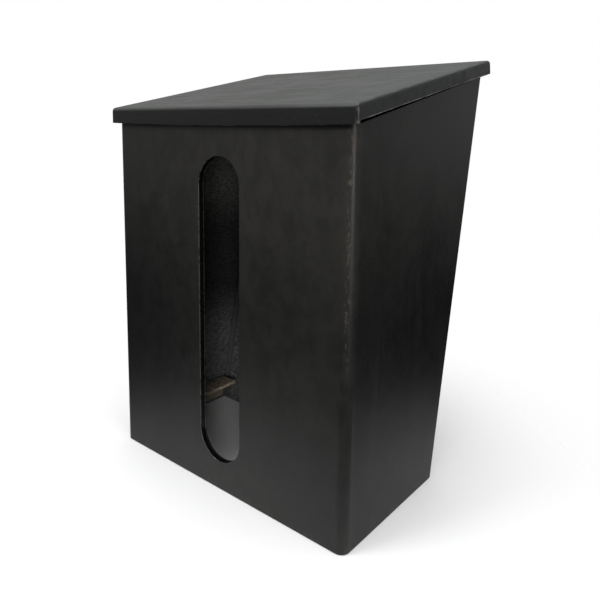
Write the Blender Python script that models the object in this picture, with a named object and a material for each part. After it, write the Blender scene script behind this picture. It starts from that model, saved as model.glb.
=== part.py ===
"""Napkin dispenser for a food truck: a black plastic box with a level slot and a hinged lid.

Units are metres, +Z is up, the front faces -Y and +X is the viewer's right.
The box is laid out with y = 0 on the outer face of the front wall and z = 0 on
the bottom rim. The root empty then moves everything so that the origin is the
middle of the bounding box at rim height.
"""
import math

import bmesh
import bpy
from mathutils import Matrix, Vector

# ---------------------------------------------------------------- dimensions
GAP = 0.0003                    # between two pieces that touch

BOX_WIDTH = 0.238
BOX_DEPTH = 0.120               # at the rim, front face to rear face
WALL = 0.006
BACK_LEAN = math.radians(10.5)  # the back panel leans outwards going up
BEND_OUTER = 0.007              # front corners of the bent wall
BEND_INNER = 0.001
BEND_STEPS = 8

LID_FRONT_HEIGHT = 0.2916       # top front edge of the lid above the rim
LID_SLOPE = math.radians(12.5)
LID_SHEET = 0.003
LID_SIDE_CLEARANCE = 0.002
LID_FRONT_FLANGE = 0.0121
LID_SIDE_FLANGE = 0.0107
LID_EDGE_RADIUS = 0.0024
LID_PAST_PIN = 0.0024           # lid behind the hinge pin

SLOT_WIDTH = 0.0425
SLOT_BOTTOM = 0.0225
SLOT_TOP = 0.2563
SLOT_OFFSET = 0.002
SLOT_STEPS = 16

LEDGE_TOP = 0.025
LEDGE_REACH = 0.021
LEDGE_LEG = 0.020
LEDGE_SHEET = 0.003

BEAD = 0.005                    # weld bead in the rear corners, leg length
BEAD_FOOT = 0.001

STRIP_HALF_LENGTH = 0.098       # wall strips on the back
STRIP_HEIGHT = 0.024
STRIP_THICK = 0.012
STRIP_AT = {"lower": 0.070, "upper": 0.230}     # along the leaning back
FIXING_X = 0.076
FIXING_RADIUS = 0.0025
FIXING_STEPS = 16

KNUCKLE_RADIUS = 0.0022
PIN_RADIUS = 0.0010
BORE_RADIUS = 0.00132
LEAF_SHEET = 0.0010
LEAF_LENGTH = 0.022             # from the pin to the leaf's free edge
LEAF_START = 0.0029             # the other leaf's knuckles turn inside this
HINGE_HALF_WIDTH = 0.105
KNUCKLES = 7
PIN_STEPS = 16

RIVET_X = (-0.090, -0.030, 0.030, 0.090)
RIVET_SHANK = 0.0016
RIVET_HEAD = 0.0030
RIVET_HEAD_HEIGHT = 0.0011
BODY_RIVET_REACH = 0.0135       # from the pin, along the leaf
LID_RIVET_REACH = 0.0165

RIVET_STEPS = 12
WASHER_RADIUS = 0.0038
WASHER_SHEET = 0.0008

# ---------------------------------------------------------- derived directions
# Directions in the side view, as (y, z).
UP_BACK = Vector((math.sin(BACK_LEAN), math.cos(BACK_LEAN)))
OUT_BACK = Vector((math.cos(BACK_LEAN), -math.sin(BACK_LEAN)))
FORE_LID = Vector((-math.cos(LID_SLOPE), -math.sin(LID_SLOPE)))
UP_LID = Vector((-math.sin(LID_SLOPE), math.cos(LID_SLOPE)))

HALF_WIDTH = BOX_WIDTH / 2
INNER_HALF = HALF_WIDTH - WALL
BACK_FOOT = Vector((BOX_DEPTH, 0.0))
LID_FACE_Y = -(LID_SHEET + GAP)
LID_FRONT = Vector((LID_FACE_Y, LID_FRONT_HEIGHT))
LID_HALF = HALF_WIDTH + LID_SIDE_CLEARANCE + LID_SHEET


def crossing(point_a, normal_a, point_b, normal_b):
    """Point where two lines of the side view meet, each given by point and normal."""
    det = normal_a.x * normal_b.y - normal_a.y * normal_b.x
    a = point_a.dot(normal_a)
    b = point_b.dot(normal_b)
    return Vector(((a * normal_b.y - b * normal_a.y) / det, (b * normal_a.x - a * normal_b.x) / det))


def under_lid(depth):
    """A point on the plane that lies this far below the lid's top face."""
    return LID_FRONT - UP_LID * depth


def behind_back(distance):
    """A point on the plane that lies this far behind the box's rear face."""
    return BACK_FOOT + OUT_BACK * distance


def on_back(along, distance=0.0):
    return BACK_FOOT + UP_BACK * along + OUT_BACK * distance


PIN_DEPTH = LID_SHEET + GAP + KNUCKLE_RADIUS
PIN = crossing(under_lid(PIN_DEPTH), UP_LID, behind_back(KNUCKLE_RADIUS + GAP), OUT_BACK)
LID_REAR_TOP = PIN - FORE_LID * LID_PAST_PIN + UP_LID * PIN_DEPTH
LID_REAR_LOW = LID_REAR_TOP - UP_LID * LID_SIDE_FLANGE
MIDDLE_Y = (LID_FACE_Y + LID_REAR_LOW.x) / 2


# ------------------------------------------------------------------- materials
def make_material(name, colour, roughness, metallic=0.0):
    material = bpy.data.materials.new(name)
    material.use_nodes = True
    shader = material.node_tree.nodes["Principled BSDF"]
    shader.inputs["Base Color"].default_value = (*colour, 1.0)
    shader.inputs["Roughness"].default_value = roughness
    shader.inputs["Metallic"].default_value = metallic
    return material


def make_materials():
    return {
        "body": make_material("body_plastic", (0.030, 0.029, 0.028), 0.42),
        "lid": make_material("lid_plastic", (0.034, 0.035, 0.035), 0.36),
        "ledge": make_material("ledge_plastic", (0.055, 0.050, 0.045), 0.50),
        "trim": make_material("strip_plastic", (0.028, 0.028, 0.028), 0.55),
        "steel": make_material("hinge_steel", (0.55, 0.55, 0.56), 0.32, 1.0),
        "rivet": make_material("rivet_aluminium", (0.62, 0.62, 0.63), 0.38, 1.0),
        "bead": make_material("weld_plastic", (0.034, 0.034, 0.034), 0.30),
    }


# ------------------------------------------------------------------ mesh tools
class Assembly:
    """The parent empty of one rigid group, with the point that its meshes are drawn about."""

    def __init__(self, name, datum, parent=None):
        self.datum = Vector(datum)
        self.empty = bpy.data.objects.new(name, None)
        self.empty.empty_display_size = 0.02
        bpy.context.scene.collection.objects.link(self.empty)
        if parent is not None:
            self.empty.parent = parent.empty
            self.empty.location = self.datum - parent.datum

    def add(self, name, shape, material=None):
        """Turn a bmesh drawn in the box's frame into a named object of this group."""
        bmesh.ops.recalc_face_normals(shape, faces=shape.faces)
        bmesh.ops.translate(shape, verts=shape.verts, vec=-self.datum)
        mesh = bpy.data.meshes.new(name)
        shape.to_mesh(mesh)
        shape.free()
        if material is not None:
            mesh.materials.append(material)
        obj = bpy.data.objects.new(name, mesh)
        bpy.context.scene.collection.objects.link(obj)
        obj.parent = self.empty
        return obj

    def cut(self, obj, shapes):
        """Subtract each shape from the object with an exact Boolean."""
        for number, shape in enumerate(shapes, start=1):
            cutter = self.add(f"{obj.name}_cutter_{number}", shape)
            cutter.hide_render = True
            cutter.display_type = "WIRE"
            cut = obj.modifiers.new(f"cut_{number}", "BOOLEAN")
            cut.operation = "DIFFERENCE"
            cut.solver = "EXACT"
            cut.object = cutter


def prism(outline, offset):
    """Closed solid from a list of 3-D points in one plane, pushed along offset."""
    shape = bmesh.new()
    base = shape.faces.new([shape.verts.new(point) for point in outline])
    grown = bmesh.ops.extrude_face_region(shape, geom=[base])
    moved = [item for item in grown["geom"] if isinstance(item, bmesh.types.BMVert)]
    bmesh.ops.translate(shape, verts=moved, vec=offset)
    return shape


def side_prism(outline, x_low, x_high):
    """Solid with an outline in the side view, (y, z), between two x values."""
    points = [(x_low, y, z) for y, z in outline]
    return prism(points, (x_high - x_low, 0, 0))


def arc(centre, radius, start, end, steps):
    """Points of an arc, angles in degrees, both ends included."""
    angles = [math.radians(start + (end - start) * step / steps) for step in range(steps + 1)]
    return [(centre[0] + radius * math.cos(a), centre[1] + radius * math.sin(a)) for a in angles]


def rod(start, end, radius, steps):
    """Round bar between two points."""
    start, end = Vector(start), Vector(end)
    direction = end - start
    shape = bmesh.new()
    bmesh.ops.create_cone(shape, cap_ends=True, segments=steps, radius1=radius, radius2=radius,
                          depth=direction.length)
    turn = Vector((0, 0, 1)).rotation_difference(direction).to_matrix().to_4x4()
    bmesh.ops.transform(shape, verts=shape.verts, matrix=Matrix.Translation((start + end) / 2) @ turn)
    return shape


def turned(start, direction, profile, steps, hollow=False):
    """Solid of revolution: profile is a list of (distance along direction, radius).

    A hollow one joins its last ring to its first, otherwise both ends are capped.
    """
    start, direction = Vector(start), Vector(direction).normalized()
    turn = Vector((0, 0, 1)).rotation_difference(direction).to_matrix()
    shape = bmesh.new()
    rings = []
    for along, radius in profile:
        ring = []
        for step in range(steps):
            angle = 2 * math.pi * step / steps
            local = Vector((radius * math.cos(angle), radius * math.sin(angle), along))
            ring.append(shape.verts.new(start + turn @ local))
        rings.append(ring)
    following_rings = rings[1:] + rings[:1] if hollow else rings[1:]
    for low, high in zip(rings, following_rings):
        for step in range(steps):
            following = (step + 1) % steps
            shape.faces.new((low[step], low[following], high[following], high[step]))
    if not hollow:
        shape.faces.new(reversed(rings[0]))
        shape.faces.new(rings[-1])
    return shape


def trim(shape, point, normal):
    """Cut away everything on the normal's side of a plane seen in the side view, and close it."""
    result = bmesh.ops.bisect_plane(
        shape, geom=shape.verts[:] + shape.edges[:] + shape.faces[:], dist=1e-7,
        plane_co=(0, *point), plane_no=(0, *normal), clear_outer=True)
    rim = [item for item in result["geom_cut"] if isinstance(item, bmesh.types.BMEdge)]
    bmesh.ops.edgenet_fill(shape, edges=rim)


def leaf_points(away, towards, pairs):
    """Side-view points given in a hinge leaf's own directions about the pin."""
    return [tuple(PIN + away * along + towards * across) for along, across in pairs]


def solid(point, x=0.0):
    """A side-view point as a 3-D point."""
    return Vector((x, point[0], point[1]))


# ------------------------------------------------------------------------ body
def wall_outline():
    """Plan of the bent wall: left side, front and right side as one sheet."""
    rear = BOX_DEPTH * 2
    outer_x = HALF_WIDTH - BEND_OUTER
    inner_x = INNER_HALF - BEND_INNER
    outer = [(-HALF_WIDTH, rear)]
    outer += arc((-outer_x, BEND_OUTER), BEND_OUTER, 180, 270, BEND_STEPS)
    outer += arc((outer_x, BEND_OUTER), BEND_OUTER, 270, 360, BEND_STEPS)
    outer += [(HALF_WIDTH, rear)]
    inner_y = WALL + BEND_INNER
    inner = [(INNER_HALF, rear)]
    inner += arc((inner_x, inner_y), BEND_INNER, 360, 270, BEND_STEPS // 2)
    inner += arc((-inner_x, inner_y), BEND_INNER, 270, 180, BEND_STEPS // 2)
    inner += [(-INNER_HALF, rear)]
    return [(x, y, 0.0) for x, y in outer + inner]


def slot_cutter():
    radius = SLOT_WIDTH / 2
    plan = arc((SLOT_OFFSET, SLOT_TOP - radius), radius, 0, 180, SLOT_STEPS)
    plan += arc((SLOT_OFFSET, SLOT_BOTTOM + radius), radius, 180, 360, SLOT_STEPS)
    return prism([(x, -WALL, z) for x, z in plan], (0, 3 * WALL, 0))


def make_wall(box, material):
    height = LID_REAR_TOP.y + WALL
    shape = prism(wall_outline(), (0, 0, height))
    trim(shape, under_lid(LID_SHEET + GAP), UP_LID)
    trim(shape, BACK_FOOT, OUT_BACK)
    wall = box.add("front_and_side_wall", shape, material)
    box.cut(wall, [slot_cutter()])


def back_hole(x, along, radius, steps):
    return rod(solid(on_back(along, -3 * WALL), x), solid(on_back(along, 2 * WALL), x), radius, steps)


def rivet_along():
    """How far up the leaning back the body leaf's rivets sit."""
    return (PIN - BACK_FOOT).dot(UP_BACK) - BODY_RIVET_REACH


def body_rivet_holes():
    return [back_hole(x, rivet_along(), RIVET_SHANK + GAP, RIVET_STEPS) for x in RIVET_X]


def make_back(box, material):
    top_gap = LID_SHEET + 2 * GAP + LEAF_SHEET + WALL / 8
    outline = [
        BACK_FOOT,
        crossing(BACK_FOOT, OUT_BACK, under_lid(top_gap), UP_LID),
        crossing(behind_back(-WALL), OUT_BACK, under_lid(top_gap), UP_LID),
        crossing(behind_back(-WALL), OUT_BACK, Vector((0, 0)), Vector((0, 1))),
    ]
    half = INNER_HALF - GAP
    back = box.add("back_panel", side_prism(outline, -half, half), material)
    fixings = [(side * FIXING_X, along) for along in STRIP_AT.values() for side in (-1, 1)]
    holes = [back_hole(x, along, FIXING_RADIUS, FIXING_STEPS) for x, along in fixings]
    box.cut(back, holes + body_rivet_holes())


def make_weld_beads(box, material):
    """Three-cornered beads that join the back panel to the side walls from inside."""
    near = -(WALL + GAP)
    for name, side in (("left", -1), ("right", 1)):
        corner = side * (INNER_HALF - GAP)
        corners = [(corner, near), (corner - side * BEAD, near), (corner, near - BEAD)]
        outline = [solid(on_back(-WALL, distance), x) for x, distance in corners]
        shape = prism(outline, solid(UP_BACK) * (LID_REAR_TOP.y + 2 * WALL))
        trim(shape, (0, BEAD_FOOT), (0, -1))
        trim(shape, under_lid(LID_SHEET + LEAF_SHEET + WALL), UP_LID)
        box.add(f"weld_bead_{name}", shape, material)


def make_ledges(box, material):
    """Angles along the two sides that carry the ends of the napkin stack."""
    front = WALL + GAP
    rear = crossing(behind_back(-WALL - BEAD - 2 * GAP), OUT_BACK,
                    Vector((0, LEDGE_TOP - LEDGE_LEG)), Vector((0, 1))).x
    outer = INNER_HALF - GAP
    section = [
        (outer, LEDGE_TOP - LEDGE_LEG), (outer, LEDGE_TOP), (outer - LEDGE_REACH, LEDGE_TOP),
        (outer - LEDGE_REACH, LEDGE_TOP - LEDGE_SHEET), (outer - LEDGE_SHEET, LEDGE_TOP - LEDGE_SHEET),
        (outer - LEDGE_SHEET, LEDGE_TOP - LEDGE_LEG),
    ]
    for name, side in (("left", -1), ("right", 1)):
        shape = prism([(side * x, front, z) for x, z in section], (0, rear - front, 0))
        box.add(f"napkin_ledge_{name}", shape, material)


def make_wall_strips(box, material):
    """Spacers that hold the back clear of a wall, so that the lid can swing."""
    for name, along in STRIP_AT.items():
        low, high = along - STRIP_HEIGHT / 2, along + STRIP_HEIGHT / 2
        near, far = GAP, GAP + STRIP_THICK
        outline = [on_back(low, near), on_back(high, near), on_back(high, far), on_back(low, far)]
        shape = side_prism(outline, -STRIP_HALF_LENGTH, STRIP_HALF_LENGTH)
        strip = box.add(f"wall_strip_{name}", shape, material)
        box.cut(strip, [back_hole(side * FIXING_X, along, FIXING_RADIUS, FIXING_STEPS)
                        for side in (-1, 1)])


# ----------------------------------------------------------------------- hinge
def leaf_shape(away, towards):
    """Leaf with one full-length knuckle, its flat side facing what it is fixed to."""
    inner = KNUCKLE_RADIUS - LEAF_SHEET
    meet = math.degrees(math.asin(inner / KNUCKLE_RADIUS))
    pairs = [(LEAF_LENGTH, KNUCKLE_RADIUS)]
    pairs += arc((0, 0), KNUCKLE_RADIUS, 90, 360 + meet, PIN_STEPS)
    pairs += [(LEAF_LENGTH, inner)]
    return side_prism(leaf_points(away, towards, pairs), -HINGE_HALF_WIDTH, HINGE_HALF_WIDTH)


def knuckle_gaps(away, towards, first):
    """Boxes that clear the places of the other leaf's knuckles."""
    pitch = 2 * HINGE_HALF_WIDTH / KNUCKLES
    reach = 2 * KNUCKLE_RADIUS
    pairs = [(-reach, -reach), (LEAF_START, -reach), (LEAF_START, reach), (-reach, reach)]
    outline = leaf_points(away, towards, pairs)
    shapes = []
    for number in range(first, KNUCKLES, 2):
        low = -HINGE_HALF_WIDTH + number * pitch - GAP / 2
        high = low + pitch + GAP
        if number == 0:
            low -= pitch
        if number == KNUCKLES - 1:
            high += pitch
        shapes.append(side_prism(outline, low, high))
    return shapes


def pin_bore():
    reach = HINGE_HALF_WIDTH + KNUCKLE_RADIUS
    return rod(solid(PIN, -reach), solid(PIN, reach), BORE_RADIUS, PIN_STEPS)


def make_body_leaf(box, material):
    away, towards = -UP_BACK, -OUT_BACK
    leaf = box.add("hinge_body_leaf", leaf_shape(away, towards), material)
    box.cut(leaf, knuckle_gaps(away, towards, 1) + [pin_bore()] + body_rivet_holes())


def lid_rivet_hole(x):
    middle = PIN + FORE_LID * LID_RIVET_REACH
    return rod(solid(middle - UP_LID * WALL, x), solid(middle + UP_LID * 2 * WALL, x),
               RIVET_SHANK + GAP, RIVET_STEPS)


def make_lid_leaf(lid, material):
    leaf = lid.add("hinge_lid_leaf", leaf_shape(FORE_LID, UP_LID), material)
    holes = [lid_rivet_hole(x) for x in RIVET_X]
    lid.cut(leaf, knuckle_gaps(FORE_LID, UP_LID, 0) + [pin_bore()] + holes)


def make_pin(box, material):
    reach = HINGE_HALF_WIDTH
    box.add("hinge_pin", rod(solid(PIN, -reach), solid(PIN, reach), PIN_RADIUS, PIN_STEPS), material)


# ------------------------------------------------------------------------- lid
def make_lid(lid, material):
    """Sloping sheet with a flange turned down at the front and at both sides."""
    flange_back = LID_FACE_Y + LID_SHEET
    side_line = under_lid(LID_SIDE_FLANGE)
    outline = [
        (LID_FACE_Y, LID_FRONT_HEIGHT - LID_FRONT_FLANGE),
        tuple(LID_FRONT),
        tuple(LID_REAR_TOP),
        tuple(LID_REAR_LOW),
        tuple(crossing(side_line, UP_LID, Vector((flange_back, 0)), Vector((1, 0)))),
        (flange_back, LID_FRONT_HEIGHT - LID_FRONT_FLANGE),
    ]
    shape = side_prism(outline, -LID_HALF, LID_HALF)
    rounded = [edge for edge in shape.edges if is_lid_bend(edge)]
    bmesh.ops.bevel(shape, geom=rounded, offset=LID_EDGE_RADIUS, segments=3, profile=0.5,
                    affect="EDGES", clamp_overlap=True)
    cover = lid.add("lid", shape, material)
    inside_front = crossing(under_lid(LID_SHEET), UP_LID, Vector((flange_back, 0)), Vector((1, 0)))
    inside_rear = LID_REAR_TOP - UP_LID * LID_SHEET - FORE_LID * 2 * WALL
    drop = Vector((0, -2 * LID_SIDE_FLANGE))
    hollow = side_prism([tuple(inside_front + drop), tuple(inside_front), tuple(inside_rear),
                         tuple(inside_rear + 2 * drop)], -LID_HALF + LID_SHEET, LID_HALF - LID_SHEET)
    lid.cut(cover, [hollow] + [lid_rivet_hole(x) for x in RIVET_X])


def is_lid_bend(edge):
    """The top front edge, the two top side edges and the two upright front corners."""
    ends = [Vector((vert.co.y, vert.co.z)) for vert in edge.verts]
    across = abs(edge.verts[0].co.x - edge.verts[1].co.x) > GAP
    at_front = [abs(end.x - LID_FACE_Y) < GAP / 3 for end in ends]
    on_top = [abs((end - LID_FRONT).dot(UP_LID)) < GAP / 3 for end in ends]
    if across:
        return all(at_front) and all(on_top)
    return all(on_top) or all(at_front)


# ---------------------------------------------------------------------- rivets
def make_body_rivet(box, number, x, material):
    """Headed outside the hinge leaf, closed with a formed tail on a washer inside the box."""
    leaf_face = 2 * GAP + LEAF_SHEET
    washer_face = -(WALL + GAP)
    tail_face = washer_face - WASHER_SHEET - GAP
    profile = [
        (leaf_face + RIVET_HEAD_HEIGHT, RIVET_HEAD * 0.7), (leaf_face + RIVET_HEAD_HEIGHT / 2, RIVET_HEAD),
        (leaf_face, RIVET_HEAD), (leaf_face, RIVET_SHANK), (tail_face, RIVET_SHANK),
        (tail_face, RIVET_HEAD * 0.85), (tail_face - RIVET_HEAD_HEIGHT, RIVET_HEAD * 0.7),
    ]
    centre = solid(on_back(rivet_along()), x)
    box.add(f"body_rivet_{number}", turned(centre, solid(OUT_BACK), profile, RIVET_STEPS), material)
    inner, outer = RIVET_SHANK + GAP, WASHER_RADIUS
    ring = [(washer_face, inner), (washer_face, outer),
            (washer_face - WASHER_SHEET, outer), (washer_face - WASHER_SHEET, inner)]
    washer = turned(centre, solid(OUT_BACK), ring, RIVET_STEPS, hollow=True)
    box.add(f"rivet_washer_{number}", washer, material)


def make_lid_rivet(lid, number, x, material):
    """Headed under the lid leaf, finished flush with the lid's top face."""
    start = PIN + FORE_LID * LID_RIVET_REACH
    leaf_face = KNUCKLE_RADIUS - LEAF_SHEET - GAP
    top = KNUCKLE_RADIUS + GAP + LID_SHEET - GAP / 2
    profile = [
        (leaf_face - RIVET_HEAD_HEIGHT, RIVET_HEAD * 0.7), (leaf_face - RIVET_HEAD_HEIGHT / 2, RIVET_HEAD),
        (leaf_face, RIVET_HEAD), (leaf_face, RIVET_SHANK), (top, RIVET_SHANK),
    ]
    rivet = turned(solid(start, x), solid(UP_LID), profile, RIVET_STEPS)
    lid.add(f"lid_rivet_{number}", rivet, material)


def make_rivets(box, lid, material):
    for number, x in enumerate(RIVET_X, start=1):
        make_body_rivet(box, number, x, material)
        make_lid_rivet(lid, number, x, material)


# ------------------------------------------------------------------------ main
def shade_round_pieces():
    for obj in bpy.context.scene.objects:
        if obj.type == "MESH":
            obj.data.shade_smooth()
            obj.data.set_sharp_from_angle(angle=math.radians(35))


def main():
    for obj in list(bpy.data.objects):
        bpy.data.objects.remove(obj, do_unlink=True)
    materials = make_materials()
    box = Assembly("box_root", (0, 0, 0))
    box.empty.location = (0, -MIDDLE_Y, 0)
    lid = Assembly("lid_axis", solid(PIN), box)

    make_wall(box, materials["body"])
    make_back(box, materials["body"])
    make_weld_beads(box, materials["bead"])
    make_ledges(box, materials["ledge"])
    make_wall_strips(box, materials["trim"])
    make_body_leaf(box, materials["steel"])
    make_pin(box, materials["steel"])
    make_lid(lid, materials["lid"])
    make_lid_leaf(lid, materials["steel"])
    make_rivets(box, lid, materials["rivet"])
    shade_round_pieces()


main()
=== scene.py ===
"""Looks of a black plastic napkin dispenser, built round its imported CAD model.

Units are metres in the CAD's own frame: +Z up, the front faces -Y, +X to the
viewer's right. Shapes are drawn in the box's layout, with y = 0 on the outer
face of the front wall and z = 0 on the rim, and moved to the frame at the end.
"""

import math

import bmesh
import bpy
from mathutils import Matrix, Vector, noise


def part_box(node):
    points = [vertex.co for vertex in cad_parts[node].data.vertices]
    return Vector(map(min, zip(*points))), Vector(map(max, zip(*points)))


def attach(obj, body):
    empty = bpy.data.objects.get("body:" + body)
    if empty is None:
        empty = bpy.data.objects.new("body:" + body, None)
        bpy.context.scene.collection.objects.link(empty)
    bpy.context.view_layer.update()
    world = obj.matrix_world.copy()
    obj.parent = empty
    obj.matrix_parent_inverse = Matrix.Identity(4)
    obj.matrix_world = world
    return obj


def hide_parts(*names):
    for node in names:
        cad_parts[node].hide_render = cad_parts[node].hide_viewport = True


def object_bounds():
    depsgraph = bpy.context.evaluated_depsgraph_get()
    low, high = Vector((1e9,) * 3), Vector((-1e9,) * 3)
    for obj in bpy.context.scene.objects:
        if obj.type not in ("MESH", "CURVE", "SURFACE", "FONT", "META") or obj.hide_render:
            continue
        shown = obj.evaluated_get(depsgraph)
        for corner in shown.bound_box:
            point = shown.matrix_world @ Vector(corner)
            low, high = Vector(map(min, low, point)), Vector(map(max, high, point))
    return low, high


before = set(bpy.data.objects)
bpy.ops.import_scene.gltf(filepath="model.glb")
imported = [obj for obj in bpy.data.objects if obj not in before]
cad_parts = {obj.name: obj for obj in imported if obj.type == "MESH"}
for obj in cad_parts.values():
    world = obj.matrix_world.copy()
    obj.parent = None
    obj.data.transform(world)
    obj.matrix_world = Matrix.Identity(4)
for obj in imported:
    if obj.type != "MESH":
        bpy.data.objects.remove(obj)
cad_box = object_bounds()

# ---------------------------------------------------------------- dimensions
GAP = 0.0003                    # kept between pieces
BOX_WIDTH = 0.238
BOX_DEPTH = 0.120
WALL = 0.006
BACK_LEAN = math.radians(10.5)
BACK_TOP_ROOM = 0.00075         # over the back's top edge, besides the hinge leaf
BACK_SIDE_GAP = 0.00002         # too narrow to show light
BEND_OUTER = 0.007
BEND_STEPS = 20

LID_FRONT_HEIGHT = 0.2916
LID_SLOPE = math.radians(12.5)
LID_SHEET = 0.003
LID_SIDE_CLEARANCE = 0.002
LID_FRONT_FLANGE = 0.0121
LID_SIDE_FLANGE = 0.0107
LID_EDGE_RADIUS = 0.0027
LID_BEND_STEPS = 7
LID_PAST_PIN = 0.0024           # how far the lid reaches behind the pin
LID_BOW = 0.0016                # the front lip hangs lower in the middle
LID_BOW_DEPTH = 0.001           # how far behind the front flange the bow still reaches
LID_GRID = 0.012                # widest strip of its faces, so that the bow is smooth

SLOT_WIDTH = 0.0425
SLOT_BOTTOM = 0.0225
SLOT_TOP = 0.2563
SLOT_OFFSET = 0.002
SLOT_STEPS = 28                 # per quarter turn

LEDGE_TOP = 0.025
LEDGE_REACH = 0.021
LEDGE_LEG = 0.020
LEDGE_SHEET = 0.003
LEDGE_BEND_INNER = 0.0008

BEAD = 0.005
BEAD_FOOT = 0.001
BEAD_RIPPLE = 0.0026            # spacing of the ripples
BEAD_RINGS = 5                  # to each ripple
BEAD_TOP_GAP = 0.0012
BEAD_LIFT = 0.0006

STRIP_HALF_LENGTH = 0.098
STRIP_HEIGHT = 0.024
STRIP_THICK = 0.012
STRIP_AT = {"lower": 0.070, "upper": 0.230}
FIXING_X = 0.076
FIXING_RADIUS = 0.0025
ROUND_STEPS = 40

KNUCKLE_RADIUS = 0.0022
PIN_RADIUS = 0.0010
BORE_RADIUS = 0.00132
LEAF_SHEET = 0.0010
LEAF_LENGTH = 0.022
LEAF_START = 0.0029             # from the pin, clear of the other leaf's knuckles
SEAM_LOW = 0.00025              # where the rolled sheet meets itself, under its face
SEAM_HIGH = 0.00005
PIN_CHAMFER = 0.0003
HINGE_HALF_WIDTH = 0.105
KNUCKLES = 7

RIVET_X = (-0.090, -0.030, 0.030, 0.090)
RIVET_SHANK = 0.0016
RIVET_HEAD = 0.0030
RIVET_HEAD_HEIGHT = 0.0011
RIVET_DIMPLE = 0.0008           # radius of the hole that the mandrel left
BODY_RIVET_REACH = 0.0135
LID_RIVET_REACH = 0.0165
WASHER_RADIUS = 0.0038
WASHER_SHEET = 0.0008
WASHER_CHAMFER = 0.00015

FLOOR_RADIUS = 0.80
FLOOR_FADE = (0.10, 0.31)       # the floor melts into the backdrop between these
FLOOR_DROP = 0.0002             # under the rim, so that the two never share a plane

# How far edges are rounded by handling and sanding.
SOFT_WALL = 0.0008
SOFT_BACK = 0.00035
SOFT_LEDGE = 0.0004
SOFT_STRIP = 0.0007
SOFT_LEAF = 0.0001
SOFT_LID = 0.0005

# Tolerances.
SKIN = 0.00003                  # a face of the wall this near a skin belongs to it
LID_MARGIN = 0.00002            # the same for the lid
MERGE = 1e-7                    # corners nearer than this are one

# ------------------------------------------------------------- light and camera
# Name, place, size, watts and whether it shows in reflections.
LIGHTS = (
    ("overhead", (0.20, -0.20, 2.00), (1.6, 1.6), 26, True),
    ("key", (-0.70, -1.25, 1.70), (0.7, 0.7), 18, True),
    ("fill", (1.18, -1.31, 0.36), (0.35, 0.62), 13.5, False),
    ("panel", (0.95, -0.30, 0.22), (0.30, 0.36), 2.4, True),
)
LIGHT_TARGET = Vector((0, 0, 0.12))
# Grey of the room by height, from straight down at 0 to straight up at 1.
ROOM_GREYS = ((0.0, 0.012), (0.43, 0.02), (0.502, 0.42), (0.95, 0.44))
CAMERA_PLACE = (0.3190, -0.3843, 0.2762)
CAMERA_DEGREES = (82.306, -0.728, 39.467)
CAMERA_LENS = 35.74
CAMERA_SENSOR = 36.0
CAMERA_SHIFT_Y = -0.1505

# ---------------------------------------------------------- derived directions
UP_BACK = Vector((math.sin(BACK_LEAN), math.cos(BACK_LEAN)))
OUT_BACK = Vector((math.cos(BACK_LEAN), -math.sin(BACK_LEAN)))
FORE_LID = Vector((-math.cos(LID_SLOPE), -math.sin(LID_SLOPE)))
UP_LID = Vector((-math.sin(LID_SLOPE), math.cos(LID_SLOPE)))

HALF_WIDTH = BOX_WIDTH / 2
INNER_HALF = HALF_WIDTH - WALL
BEND_X = HALF_WIDTH - BEND_OUTER
BACK_FOOT = Vector((BOX_DEPTH, 0.0))
LID_FACE_Y = -(LID_SHEET + GAP)
LID_FRONT = Vector((LID_FACE_Y, LID_FRONT_HEIGHT))
LID_HALF = HALF_WIDTH + LID_SIDE_CLEARANCE + LID_SHEET


def crossing(point_a, normal_a, point_b, normal_b):
    """Point where two lines of the side view meet, each given by point and normal."""
    det = normal_a.x * normal_b.y - normal_a.y * normal_b.x
    a = point_a.dot(normal_a)
    b = point_b.dot(normal_b)
    return Vector(((a * normal_b.y - b * normal_a.y) / det, (b * normal_a.x - a * normal_b.x) / det))


def under_lid(depth):
    """Point at a depth under the lid's top plane."""
    return LID_FRONT - UP_LID * depth


def behind_back(distance):
    """Point at a distance behind the back panel's outer face."""
    return BACK_FOOT + OUT_BACK * distance


def on_back(along, distance=0.0):
    """Point up the back panel's outer face, or at a distance behind it."""
    return BACK_FOOT + UP_BACK * along + OUT_BACK * distance


PIN_DEPTH = LID_SHEET + GAP + KNUCKLE_RADIUS
PIN = crossing(under_lid(PIN_DEPTH), UP_LID, behind_back(KNUCKLE_RADIUS + GAP), OUT_BACK)
LID_REAR_TOP = PIN - FORE_LID * LID_PAST_PIN + UP_LID * PIN_DEPTH
LID_REAR_LOW = LID_REAR_TOP - UP_LID * LID_SIDE_FLANGE
FRONT_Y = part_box("front_and_side_wall")[0].y
TO_FRAME = Matrix.Translation((0, FRONT_Y, 0))
RIVET_ALONG = (PIN - BACK_FOOT).dot(UP_BACK) - BODY_RIVET_REACH


# ------------------------------------------------------------------ mesh tools
def new_object(name, shape, materials, body, replaces, smooth_below=40):
    """Named piece from a bmesh drawn in the box's layout, riding on its body."""
    bmesh.ops.recalc_face_normals(shape, faces=shape.faces)
    bmesh.ops.transform(shape, verts=shape.verts, matrix=TO_FRAME)
    mesh = bpy.data.meshes.new(name)
    shape.to_mesh(mesh)
    shape.free()
    for material in materials:
        mesh.materials.append(material)
    mesh.shade_smooth()
    mesh.set_sharp_from_angle(angle=math.radians(smooth_below))
    obj = bpy.data.objects.new(name, mesh)
    bpy.context.scene.collection.objects.link(obj)
    weights = obj.modifiers.new("even_normals", "WEIGHTED_NORMAL")
    weights.keep_sharp = True
    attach(obj, body)
    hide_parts(*replaces)
    return obj


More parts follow.
